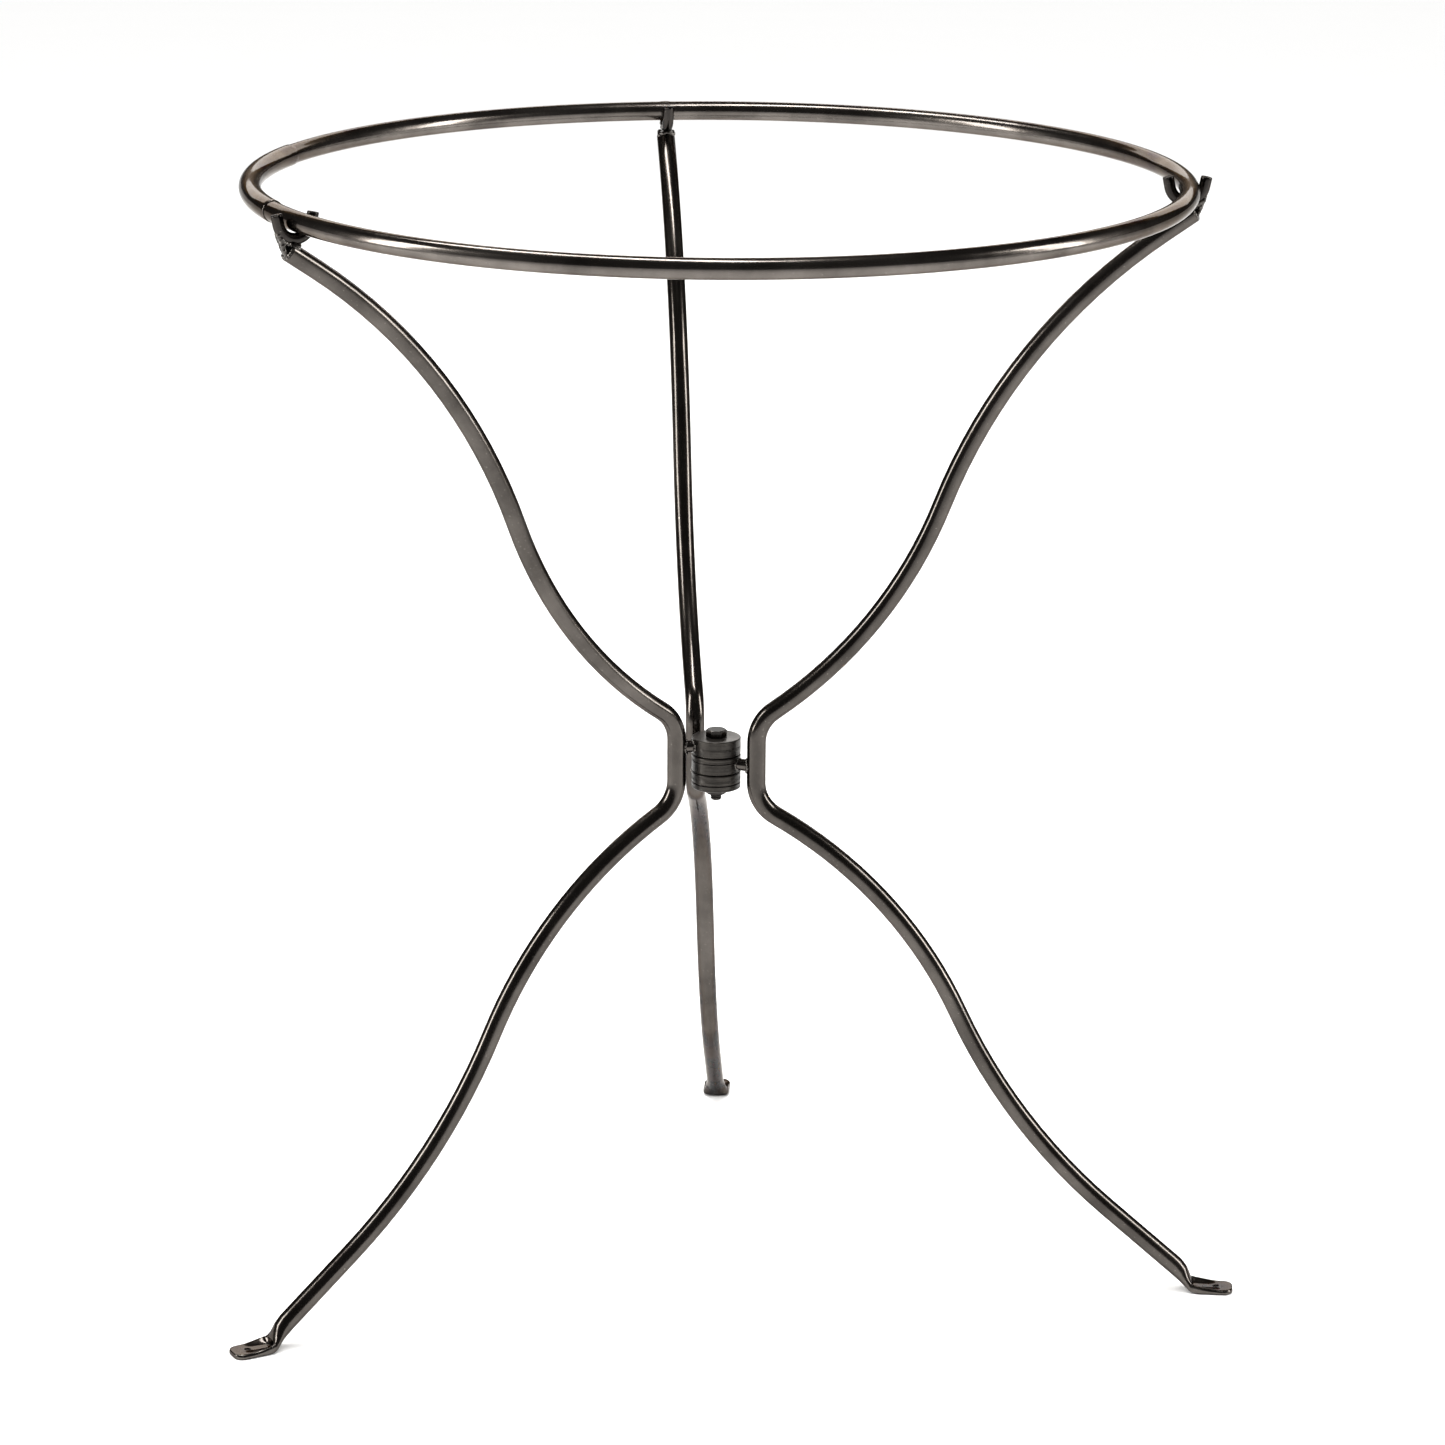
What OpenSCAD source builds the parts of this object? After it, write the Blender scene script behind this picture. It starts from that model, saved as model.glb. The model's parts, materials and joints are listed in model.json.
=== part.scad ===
// Folding tripod ring stand: three S-bent tube legs that swing on one upright bolt and carry a loose ring.
// Millimetres, +Z up. The origin is on the floor, on the axis of the pivot bolt.
// Vectors with three values give the left, right and back leg, in that order.

/* [Ring] */
// Radius of the ring, to the middle of its tube
ring_r = 322; // [250:1:400]
// Height of the middle of the ring's tube above the floor
ring_height = 800; // [650:1:960]
// Diameter of the ring's tube
ring_tube_d = 14; // [12:0.1:17]
// Wall of the ring's tube
ring_wall = 1.2; // [0.8:0.1:1.6]
// Gap between the two ends of the ring's tube, under the sleeve
ring_end_gap = 1; // [0.5:0.1:2]
// Wall of the sleeve over the ring's joint
sleeve_wall = 0.6; // [0.4:0.05:0.8]
// Direction of the sleeve's middle
sleeve_turn = 182.4; // [170:0.1:184]
// How much of the ring the sleeve covers, in degrees
sleeve_arc = 42; // [20:0.5:44]

/* [Legs] */
// Diameter of the leg tubes
leg_tube_d = 13.5; // [12:0.1:16.2]
// Wall of the leg tubes
leg_wall = 1.4; // [1:0.1:1.8]
// Direction that each leg points in
leg_turn = [210, -1, 91]; // [-180:0.5:360]
// How far each waist is welded to the side of the line from the bolt along its leg
waist_side = [-6.7, -12.2, 14.8]; // [-15:0.1:15]
// Angle between the upper and the lower arm of each leg, seen from above
leg_twist = [3, 9, 8]; // [0:0.5:12]
// Distance from the bolt to the waist, along the leg
waist_out = 28.7; // [27:0.1:36]
// Straight part of the waist above the middle of the hub
waist_above = 18; // [14:0.5:24]
// Straight part of the waist below the middle of the hub
waist_below = 11.5; // [10:0.5:20]
// Radius of the tight bends above and below the waist
waist_bend_r = 28; // [24:0.5:36]
// Slope of the upper arm beside the waist and at its top end
upper_slope = [34.5, 34.4]; // [25:0.1:45]
// First bow of the upper arm as a share of the second
upper_bow_ratio = 0.78; // [0.5:0.01:1.5]
// Straight end of the upper arm, under the cradle
upper_tail = 24; // [20:1:60]
// How far the upper arm runs out past the middle of the ring's tube
upper_overrun = 5; // [4:0.5:6]
// How far the middle of the upper arm's end lies below the middle of the cradle's bend
upper_drop = 20; // [19:0.1:21]
// Slope of the lower arm beside the waist and at the foot
lower_slope = [29.3, 40.3]; // [25:0.1:48]
// First bow of the lower arm as a share of the second
lower_bow_ratio = 0.74; // [0.5:0.01:1.5]
// Straight end of the lower arm, above the foot
lower_tail = 72; // [30:1:90]

/* [Feet] */
// Distance from the waist to the tip of the foot
foot_reach = 350; // [280:1:430]
// Length of the flat tab, from its fold to its tip
tab_len = 31; // [26:0.5:40]
// Width of the flat tab
tab_w = 21; // [18:0.5:24]
// Thickness of the flat tab
tab_t = 3.8; // [2.5:0.1:4.5]
// Radius of the tab's corners
tab_corner_r = 7; // [4:0.5:9]
// Hole for a fixing screw
foot_hole_d = 5; // [4:0.1:6.5]
// Distance from the tip of the tab to the middle of the hole
foot_hole_inset = 12; // [9:0.5:14]
// Length over which the round tube is crushed flat
crush_len = 14; // [10:0.5:20]

/* [Hub] */
// Height of the middle of the hub above the floor
hub_height = 384.5; // [320:0.5:460]
// Diameter of the knuckles that turn on the bolt
knuckle_d = 35; // [29:0.5:38]
// Thickness of one knuckle
knuckle_h = 12; // [9.6:0.1:12.6]
// Chamfer on the knuckle's edges
knuckle_chamfer = 0.5; // [0.2:0.1:1]
// Diameter of the washers between the knuckles
washer_d = 31; // [22:0.5:32]
// Thickness of a washer
washer_t = 0.6; // [0.4:0.1:1.6]
// Diameter of the pivot bolt
bolt_d = 8; // [6:0.5:10]
// Gap all round between the bolt and what turns on it
bolt_clearance = 0.05; // [0.02:0.01:0.1]
// Size of the bolt head and nut across their flats
hex_af = 13; // [12:0.5:15]
// Height of the bolt head
head_h = 5.3; // [4:0.1:7]
// Height of the thin nut
nut_h = 5; // [4:0.1:7]
// Length of bolt that stands out under the nut
bolt_tip = 4.5; // [2:0.5:10]
// Diameter of the short bars between the knuckles and the waists
stub_d = 9; // [6:0.5:9.5]

/* [Cradles] */
// Diameter of the bar that the cradles are bent from
bar_d = 8; // [6:0.5:10]
// Gap beside the sleeve when a cradle passes under it
seat_side_gap = 0.4; // [0.3:0.05:1]
// Gap under the sleeve when a cradle passes under it
seat_gap = 0.25; // [0.2:0.05:0.3]
// How far the prongs lean outwards
prong_splay = 12; // [0:1:20]
// How far the prongs reach above the middle of the cradle's bend
prong_rise = 5; // [2:0.5:10]
// Diameter of the weld beads at a cradle's bar
weld_d = 7; // [4:0.25:8]

/* [Hidden] */
left = 0;
right = 1;
back = 2;
fine = 96;
sweep_fine = 180;
paint = [0.13, 0.12, 0.11];
bright_paint = [0.2, 0.18, 0.17];
// Where two bends meet, a band this thick and this much proud of the tube joins them into one solid
band_len = 0.6;
band_proud = 0.02;
sleeve_fit = 0.05;
sleeve_r = ring_tube_d / 2 + sleeve_fit + sleeve_wall;
leg_bore = leg_tube_d - 2 * leg_wall;
hub_pitch = knuckle_h + washer_t;
hub_top = hub_height + hub_pitch + knuckle_h / 2;
hub_bottom = hub_height - hub_pitch - knuckle_h / 2;
bore_d = bolt_d + 2 * bolt_clearance;
// The left leg's knuckle is on top and the back leg's is at the bottom
knuckle_z = [hub_height + hub_pitch, hub_height, hub_height - hub_pitch];
seat_r = sleeve_r + seat_side_gap;
bow_r = seat_r + bar_d / 2;
seat_z = ring_height - sleeve_r - seat_gap + seat_r;
// Gap between a cradle's bar, its leg tube and its weld beads
weld_gap = 0.15;
// Turn from straight down to the weld bead at a tube's mouth
mouth_turn = 20;
fold_reach = foot_reach - tab_len;

// Place of a waist in its leg's own frame: distance from the bolt and direction
function waist_r(i) = norm([waist_out, waist_side[i]]);
function waist_dir(i) = atan2(waist_side[i], waist_out);

// The upper arm ends at one radius from the bolt whatever the waist's place
function along(i) = waist_r(i) * cos(waist_dir(i) - leg_twist[i] / 2);
function aside(i) = waist_r(i) * sin(waist_dir(i) - leg_twist[i] / 2);
function upper_reach(i) = sqrt(pow(ring_r + upper_overrun, 2) - pow(aside(i), 2)) - along(i);
function cradle_dir(i) = leg_twist[i] / 2 + atan2(aside(i), along(i) + upper_reach(i));

// An arm rises or drops from the waist, bends out, bows one way, bows the other way and ends straight.
// Its two bows are solved from the place they must reach: x and z from the tight bend to the straight end.
function mean_of(first, last, ratio) = (ratio * first + last) / (1 + ratio);
function steepest(x, z, slope, ratio) = atan2(z, x)
    + acos((x * mean_of(cos(slope[0]), cos(slope[1]), ratio)
          + z * mean_of(sin(slope[0]), sin(slope[1]), ratio)) / norm([x, z]));
function second_bow(x, z, slope, ratio) = x / (1 + ratio)
    / (sin(steepest(x, z, slope, ratio)) - mean_of(sin(slope[0]), sin(slope[1]), ratio));
function arm_run(straight, x, z, slope, ratio, tail) = [
    [straight, 0],
    [waist_bend_r, 90 - slope[0]],
    [ratio * second_bow(x, z, slope, ratio), slope[0] - steepest(x, z, slope, ratio)],
    [second_bow(x, z, slope, ratio), steepest(x, z, slope, ratio) - slope[1]],
    [tail, 0]];
function arm(straight, reach, rise, slope, ratio, tail) = arm_run(
    straight,
    reach - waist_bend_r * (1 - sin(slope[0])) - tail * cos(slope[1]),
    rise - straight - waist_bend_r * cos(slope[0]) - tail * sin(slope[1]),
    slope, ratio, tail);

upper_end_z = seat_z - upper_drop;
// Middle of the lower arm's round end: its underside meets the floor at the fold
crush_reach = fold_reach - crush_len * cos(lower_slope[1]) + leg_tube_d / 2 * sin(lower_slope[1]);
crush_z = crush_len * sin(lower_slope[1]) + leg_tube_d / 2 * cos(lower_slope[1]);

module tube_section(outer, bore) {
    difference() {
        circle(d = outer, $fn = fine);
        if (bore > 0) circle(d = bore, $fn = fine);
    }
}

module join_band(outer, bore) {
    translate([0, 0, -band_len / 2])
        linear_extrude(band_len)
            tube_section(outer + 2 * band_proud, bore > 0 ? bore - 2 * band_proud : 0);
}

// A run is a list of [length, 0] for a straight or [bend radius, angle] for a bend.
// It starts along +Z, and a positive angle turns it towards +X.
module bent_bar(outer, bore, run, i = 0) {
    if (i < len(run)) {
        size = run[i][0];
        turn = run[i][1];
        side = sign(turn);
        if (i > 0) join_band(outer, bore);
        if (turn == 0) {
            linear_extrude(size) tube_section(outer, bore);
            translate([0, 0, size]) bent_bar(outer, bore, run, i + 1);
        } else {
            translate([side * size, 0, 0])
                rotate([90, 0, side > 0 ? 180 : 0])
                    rotate_extrude(angle = abs(turn), $fn = sweep_fine)
                        translate([size, 0]) tube_section(outer, bore);
            translate([side * size * (1 - cos(turn)), 0, size * sin(abs(turn))])
                rotate([0, turn, 0]) bent_bar(outer, bore, run, i + 1);
        }
    }
}

module at_leg(i) {
    rotate([0, 0, leg_turn[i]]) children();
}

module at_waist(i) {
    at_leg(i) translate([waist_out, waist_side[i], hub_height]) children();
}

module at_cradle(i) {
    at_leg(i) rotate([0, 0, cradle_dir(i)]) translate([ring_r, 0, seat_z]) children();
}

module at_stub(i) {
    at_leg(i) rotate([0, 0, waist_dir(i)]) translate([0, 0, knuckle_z[i]]) rotate([0, 90, 0]) children();
}

// Frame of the upper arm's straight end, with +Z pointing back down the tube
module at_upper_end(i) {
    at_waist(i) rotate([0, 0, leg_twist[i] / 2])
        translate([upper_reach(i), 0, upper_end_z - hub_height]) rotate([0, -90 - upper_slope[1], 0]) children();
}

module foot_tab() {
    difference() {
        linear_extrude(tab_t) tab_outline();
        translate([foot_reach - foot_hole_inset, 0, -1])
            cylinder(d = foot_hole_d, h = tab_t + 2, $fn = fine);
    }
}

module tab_outline() {
    corner_x = foot_reach - tab_corner_r;
    corner_y = tab_w / 2 - tab_corner_r;
    translate([fold_reach, -tab_w / 2]) square([tab_len - tab_corner_r, tab_w]);
    translate([fold_reach, -corner_y]) square([tab_len, 2 * corner_y]);
    for (side = [-1, 1])
        translate([corner_x, side * corner_y]) circle(r = tab_corner_r, $fn = fine);
}

// The crushed length of tube, from round to flat
module crush() {
    overlap = 1;
    hull() {
        translate([crush_reach, 0, crush_z]) rotate([0, 90 + lower_slope[1], 0])
            translate([0, 0, -overlap])
                cylinder(d = leg_tube_d + 8 * band_proud, h = overlap, $fn = 32);
        translate([fold_reach, -tab_w / 2, 0]) cube([overlap, tab_w, tab_t]);
    }
}

// The full ring that a cradle's bend is part of
module bend_ring(d) {
    rotate([90, 0, 0]) rotate_extrude($fn = sweep_fine) translate([bow_r, 0]) circle(d = d, $fn = fine);
}

// The upper end is notched to sit round the bar of its cradle
module leg_tube(i) {
    color(paint) difference() {
        at_waist(i) {
            join_band(leg_tube_d, leg_bore);
            rotate([0, 0, leg_twist[i] / 2])
                bent_bar(leg_tube_d, leg_bore, arm(waist_above, upper_reach(i), upper_end_z - hub_height,
                    upper_slope, upper_bow_ratio, upper_tail));
            rotate([0, 0, -leg_twist[i] / 2]) {
                mirror([0, 0, 1])
                    bent_bar(leg_tube_d, leg_bore, arm(waist_below, crush_reach, hub_height - crush_z,
                        lower_slope, lower_bow_ratio, lower_tail));
                translate([0, 0, -hub_height]) {
                    crush();
                    foot_tab();
                }
            }
        }
        at_cradle(i) bend_ring(bar_d + 2 * weld_gap);
    }
}

// Half of a cradle's bar, from the bottom of its bend to the top of one prong
module half_cradle() {
    prong_len = (prong_rise + bow_r * sin(prong_splay)) / cos(prong_splay);
    bent_bar(bar_d, 0, [[bow_r, -(90 - prong_splay)], [prong_len, 0]]);
}

module cradle_bar() {
    translate([0, 0, -bow_r]) {
        rotate([0, 90, 0]) {
            join_band(bar_d, 0);
            half_cradle();
        }
        rotate([0, 90, 180]) half_cradle();
    }
}

module cradle(i) {
    color(paint) at_cradle(i) cradle_bar();
}

// One bead behind the cradle's bar on top of the leg tube, and one under the bar at the tube's mouth
module cradle_welds(i) {
    top_x = upper_overrun - leg_tube_d / 2 * sin(upper_slope[1]);
    top_z = -upper_drop + leg_tube_d / 2 * cos(upper_slope[1]);
    inward = top_x * cos(upper_slope[1]) + top_z * sin(upper_slope[1]);
    reach = inward + sqrt(pow(inward, 2) + pow(bow_r + bar_d / 2, 2) - pow(norm([top_x, top_z]), 2));
    color(bright_paint) difference() {
        at_cradle(i) {
            translate([top_x - reach * cos(upper_slope[1]), 0, top_z - reach * sin(upper_slope[1])])
                sphere(d = weld_d, $fn = fine);
            rotate([0, 90 - mouth_turn, 0]) translate([bow_r + bar_d / 2, 0, 0]) sphere(d = weld_d, $fn = fine);
        }
        at_cradle(i) bend_ring(bar_d + 2 * weld_gap);
        at_upper_end(i) translate([0, 0, -weld_gap]) cylinder(d = leg_tube_d + 2 * weld_gap, h = 60, $fn = fine);
    }
}

module knuckle(i) {
    color(paint) translate([0, 0, knuckle_z[i] - knuckle_h / 2]) rotate_extrude($fn = fine)
        polygon([
            [bore_d / 2, 0],
            [knuckle_d / 2 - knuckle_chamfer, 0],
            [knuckle_d / 2, knuckle_chamfer],
            [knuckle_d / 2, knuckle_h - knuckle_chamfer],
            [knuckle_d / 2 - knuckle_chamfer, knuckle_h],
            [bore_d / 2, knuckle_h]]);
}

module knuckle_rim(i) {
    translate([0, 0, knuckle_z[i] - knuckle_h]) cylinder(d = knuckle_d, h = 2 * knuckle_h, $fn = fine);
}

module waist_rim(i) {
    at_waist(i) translate([0, 0, -3 * knuckle_h]) cylinder(d = leg_tube_d, h = 6 * knuckle_h, $fn = fine);
}

// The ends of a stub are cut to fit the round rim of its knuckle and the round side of its waist
module stub(i) {
    color(paint) difference() {
        at_stub(i) translate([0, 0, knuckle_d / 2 - stub_d / 2])
            cylinder(d = stub_d, h = waist_r(i) - knuckle_d / 2 + stub_d / 2, $fn = fine);
        knuckle_rim(i);
        waist_rim(i);
    }
}

module hex_prism(h) {
    cylinder(d = hex_af / cos(30), h = h, $fn = 6);
}

module pivot_bolt() {
    tip_chamfer = 0.8;
    tip_z = hub_bottom - nut_h - bolt_tip;
    color(bright_paint) {
        translate([0, 0, hub_top]) intersection() {
            hex_prism(head_h);
            rotate_extrude($fn = fine) polygon([
                [0, 0],
                [hex_af, 0],
                [hex_af, head_h - (hex_af - hex_af * 0.47) * tan(30)],
                [hex_af * 0.47, head_h],
                [0, head_h]]);
        }
        rotate_extrude($fn = fine) polygon([
            [0, tip_z],
            [bolt_d / 2 - tip_chamfer, tip_z],
            [bolt_d / 2, tip_z + tip_chamfer],
            [bolt_d / 2, hub_top + 0.5],
            [0, hub_top + 0.5]]);
    }
}

module washer(z) {
    color(paint) translate([0, 0, z]) linear_extrude(washer_t) tube_section(washer_d, bore_d);
}

module lock_nut() {
    color(bright_paint) translate([0, 0, hub_bottom - nut_h]) difference() {
        hex_prism(nut_h);
        translate([0, 0, -1]) cylinder(d = bore_d, h = nut_h + 2, $fn = fine);
    }
}

// The ring's tube is rolled from one length, whose ends meet inside the sleeve
module ring_tube() {
    gap_angle = ring_end_gap / ring_r * 180 / PI;
    color(paint) translate([0, 0, ring_height]) rotate([0, 0, sleeve_turn + gap_angle / 2])
        rotate_extrude(angle = 360 - gap_angle, $fn = 2 * sweep_fine)
            translate([ring_r, 0]) tube_section(ring_tube_d, ring_tube_d - 2 * ring_wall);
}

module ring_sleeve() {
    color(paint) translate([0, 0, ring_height]) rotate([0, 0, sleeve_turn - sleeve_arc / 2])
        rotate_extrude(angle = sleeve_arc, $fn = 2 * sweep_fine)
            translate([ring_r, 0]) tube_section(2 * sleeve_r, ring_tube_d + 2 * sleeve_fit);
}

ring_tube();
ring_sleeve();
leg_tube(left);  // left_leg_tube
leg_tube(right);  // right_leg_tube
leg_tube(back);  // back_leg_tube
cradle(left);  // left_cradle
cradle(right);  // right_cradle
cradle(back);  // back_cradle
cradle_welds(left);  // left_cradle_welds
cradle_welds(right);  // right_cradle_welds
cradle_welds(back);  // back_cradle_welds
knuckle(left);  // left_knuckle
knuckle(right);  // right_knuckle
knuckle(back);  // back_knuckle
stub(left);  // left_stub
stub(right);  // right_stub
stub(back);  // back_stub
pivot_bolt();
washer(hub_height + knuckle_h / 2);  // upper_washer
washer(hub_height - knuckle_h / 2 - washer_t);  // lower_washer
lock_nut();
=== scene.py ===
import json
import math
import random

import bmesh
import bpy
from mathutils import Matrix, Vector, noise


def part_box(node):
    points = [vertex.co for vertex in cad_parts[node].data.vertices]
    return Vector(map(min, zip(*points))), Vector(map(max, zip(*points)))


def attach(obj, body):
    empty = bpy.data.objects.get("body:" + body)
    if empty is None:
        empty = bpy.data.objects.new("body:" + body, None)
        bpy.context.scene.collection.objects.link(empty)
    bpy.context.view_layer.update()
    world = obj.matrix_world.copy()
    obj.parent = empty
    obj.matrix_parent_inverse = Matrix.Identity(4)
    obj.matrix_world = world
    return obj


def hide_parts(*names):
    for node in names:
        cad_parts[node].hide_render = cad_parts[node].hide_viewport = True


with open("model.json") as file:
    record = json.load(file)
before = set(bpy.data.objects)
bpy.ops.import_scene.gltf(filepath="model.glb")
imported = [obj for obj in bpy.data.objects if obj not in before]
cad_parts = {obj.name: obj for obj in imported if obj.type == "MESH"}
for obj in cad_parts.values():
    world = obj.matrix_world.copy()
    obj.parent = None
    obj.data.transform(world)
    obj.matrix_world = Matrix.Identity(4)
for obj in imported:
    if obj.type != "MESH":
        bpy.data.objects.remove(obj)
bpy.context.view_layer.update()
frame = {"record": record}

# Folding tripod ring stand: three S-bent lacquered tube legs on one upright bolt, and a loose ring on top.
# Shapes are worked out in millimetres and turned into metres when a mesh is made.
# Each dictionary holds the values of the piece below it that a user may change.
mm = 0.001
legNames = ("left", "right", "back")


cameraView = {
    "location": (0.0, -3.2216, 1.3437),  # metres
    "lens": 117.57,  # millimetres on a 36 mm sensor
    "pitch": 16.11,  # degrees down
    "yaw": 0.076,
    "roll": -0.40,
}

studio = {
    "floorColour": (0.90, 0.90, 0.895),
    "floorSize": 60.0,
    "worldColour": (0.62, 0.61, 0.60),
    "worldStrength": 0.12,
    "daylight": {"strength": 3.45, "angle": 80.0, "tilt": (14.0, -10.0)},  # lights the floor evenly
    # name: place, what it looks at, width, height, power, colour
    "lamps": {
        "overhead": ((-0.5, 0.5, 3.4), (0.0, 0.0, 0.6), 0.45, 2.4, 75.0, (1.0, 0.995, 0.985)),
        "leftBox": ((-2.6, -0.5, 1.5), (0.0, 0.0, 0.6), 0.6, 1.8, 60.0, (1.0, 0.99, 0.97)),
        "rightBox": ((2.6, -0.3, 1.5), (0.0, 0.0, 0.6), 0.6, 1.8, 60.0, (1.0, 0.99, 0.97)),
        "backdrop": ((0.0, 4.2, 2.3), (0.0, 0.0, 0.7), 6.0, 1.5, 105.0, (1.0, 0.975, 0.945)),
    },
}


def makeCamera(view):
    cam = bpy.data.objects.new("camera", bpy.data.cameras.new("camera"))
    bpy.context.scene.collection.objects.link(cam)
    pitch, yaw, roll = (math.radians(view[k]) for k in ("pitch", "yaw", "roll"))
    ahead = Vector((math.sin(yaw) * math.cos(pitch), math.cos(yaw) * math.cos(pitch), -math.sin(pitch)))
    right = Vector((math.cos(yaw), -math.sin(yaw), 0.0))
    down = ahead.cross(right)
    rolledRight = math.cos(roll) * right + math.sin(roll) * down
    rolledDown = -math.sin(roll) * right + math.cos(roll) * down
    place = cam.matrix_world.copy()
    for row in range(3):
        place[row][0] = rolledRight[row]
        place[row][1] = -rolledDown[row]
        place[row][2] = -ahead[row]
        place[row][3] = view["location"][row]
    cam.matrix_world = place
    cam.data.sensor_width = 36.0
    cam.data.lens = view["lens"]
    cam.data.clip_end = 200.0
    bpy.context.scene.camera = cam


def makeLamp(name, place, target, width, height, power, colour):
    lamp = bpy.data.objects.new(name, bpy.data.lights.new(name, "AREA"))
    lamp.data.shape = "RECTANGLE"
    lamp.data.size = width
    lamp.data.size_y = height
    lamp.data.energy = power
    lamp.data.color = colour
    bpy.context.scene.collection.objects.link(lamp)
    lamp.location = place
    lamp.rotation_euler = (Vector(target) - Vector(place)).to_track_quat("-Z", "Y").to_euler()
    lamp.visible_camera = False


def makeStudio(setup):
    world = bpy.data.worlds.new("studio")
    bpy.context.scene.world = world
    world.use_nodes = True
    sky = world.node_tree.nodes["Background"]
    sky.inputs["Color"].default_value = (*setup["worldColour"], 1.0)
    sky.inputs["Strength"].default_value = setup["worldStrength"]
    for name, facts in setup["lamps"].items():
        makeLamp(name, *facts)
    day = bpy.data.objects.new("daylight", bpy.data.lights.new("daylight", "SUN"))
    day.data.energy = setup["daylight"]["strength"]
    day.data.angle = math.radians(setup["daylight"]["angle"])
    day.rotation_euler = [math.radians(a) for a in setup["daylight"]["tilt"]] + [0.0]
    day.visible_glossy = False
    bpy.context.scene.collection.objects.link(day)
    half = setup["floorSize"] / 2
    mesh = bpy.data.meshes.new("floor")
    corners = [(-half, -half, 0), (half, -half, 0), (half, half, 0), (-half, half, 0)]
    mesh.from_pydata(corners, [], [(0, 1, 2, 3)])
    floor = bpy.data.objects.new("floor", mesh)
    bpy.context.scene.collection.objects.link(floor)
    paper, nodes, links, shader = newMaterial("studioPaper")
    shader.inputs["Roughness"].default_value = 0.9
    grain = noiseOf(nodes, links, 7.0, 3.0)
    mixColours(nodes, links, grain, setup["floorColour"], tuple(c * 0.99 for c in setup["floorColour"]),
               shader.inputs["Base Color"])
    mesh.materials.append(paper)
    bpy.context.scene.view_settings.view_transform = "Standard"


def newMaterial(name):
    material = bpy.data.materials.new(name)
    material.use_nodes = True
    nodes, links = material.node_tree.nodes, material.node_tree.links
    return material, nodes, links, nodes["Principled BSDF"]


def noiseOf(nodes, links, scale, detail, stretch=None, coords="Object", rough=0.55):
    where = nodes.new("ShaderNodeTexCoord")
    grain = nodes.new("ShaderNodeTexNoise")
    grain.inputs["Scale"].default_value = scale
    grain.inputs["Detail"].default_value = detail
    grain.inputs["Roughness"].default_value = rough
    source = where.outputs[coords]
    if stretch:
        mapping = nodes.new("ShaderNodeMapping")
        mapping.inputs["Scale"].default_value = stretch
        links.new(source, mapping.inputs["Vector"])
        source = mapping.outputs["Vector"]
    links.new(source, grain.inputs["Vector"])
    return grain.outputs["Fac"]


def rangeOf(nodes, links, source, low, high, toLow, toHigh, target=None):
    spread = nodes.new("ShaderNodeMapRange")
    for socket, value in (("From Min", low), ("From Max", high), ("To Min", toLow), ("To Max", toHigh)):
        spread.inputs[socket].default_value = value
    links.new(source, spread.inputs["Value"])
    if target:
        links.new(spread.outputs["Result"], target)
    return spread.outputs["Result"]


def mixColours(nodes, links, factor, first, second, target=None):
    mix = nodes.new("ShaderNodeMix")
    mix.data_type = "RGBA"
    links.new(factor, mix.inputs[0])
    for socket, colour in ((mix.inputs[6], first), (mix.inputs[7], second)):
        if isinstance(colour, tuple):
            socket.default_value = (*colour, 1.0)
        else:
            links.new(colour, socket)
    if target:
        links.new(mix.outputs[2], target)
    return mix.outputs[2]


def addBumps(nodes, links, shader, layers):
    before = None
    for source, strength, depth in layers:
        bump = nodes.new("ShaderNodeBump")
        bump.inputs["Strength"].default_value = strength
        bump.inputs["Distance"].default_value = depth * mm
        links.new(source, bump.inputs["Height"])
        if before:
            links.new(before, bump.inputs["Normal"])
        before = bump.outputs["Normal"]
    links.new(before, shader.inputs["Normal"])


lacquer = {
    "deep": (0.036, 0.031, 0.027),
    "light": (0.086, 0.076, 0.068),
    "edgeTint": (0.30, 0.27, 0.245),  # keeps the tubes brown where they are seen at a slant
    "bareSteel": (0.34, 0.32, 0.29),
    "metal": 1.0,
    "roughness": (0.16, 0.27),
    "coat": 0.30,
    "coatRoughness": 0.05,
    "dust": (0.24, 0.22, 0.195),
}


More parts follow.
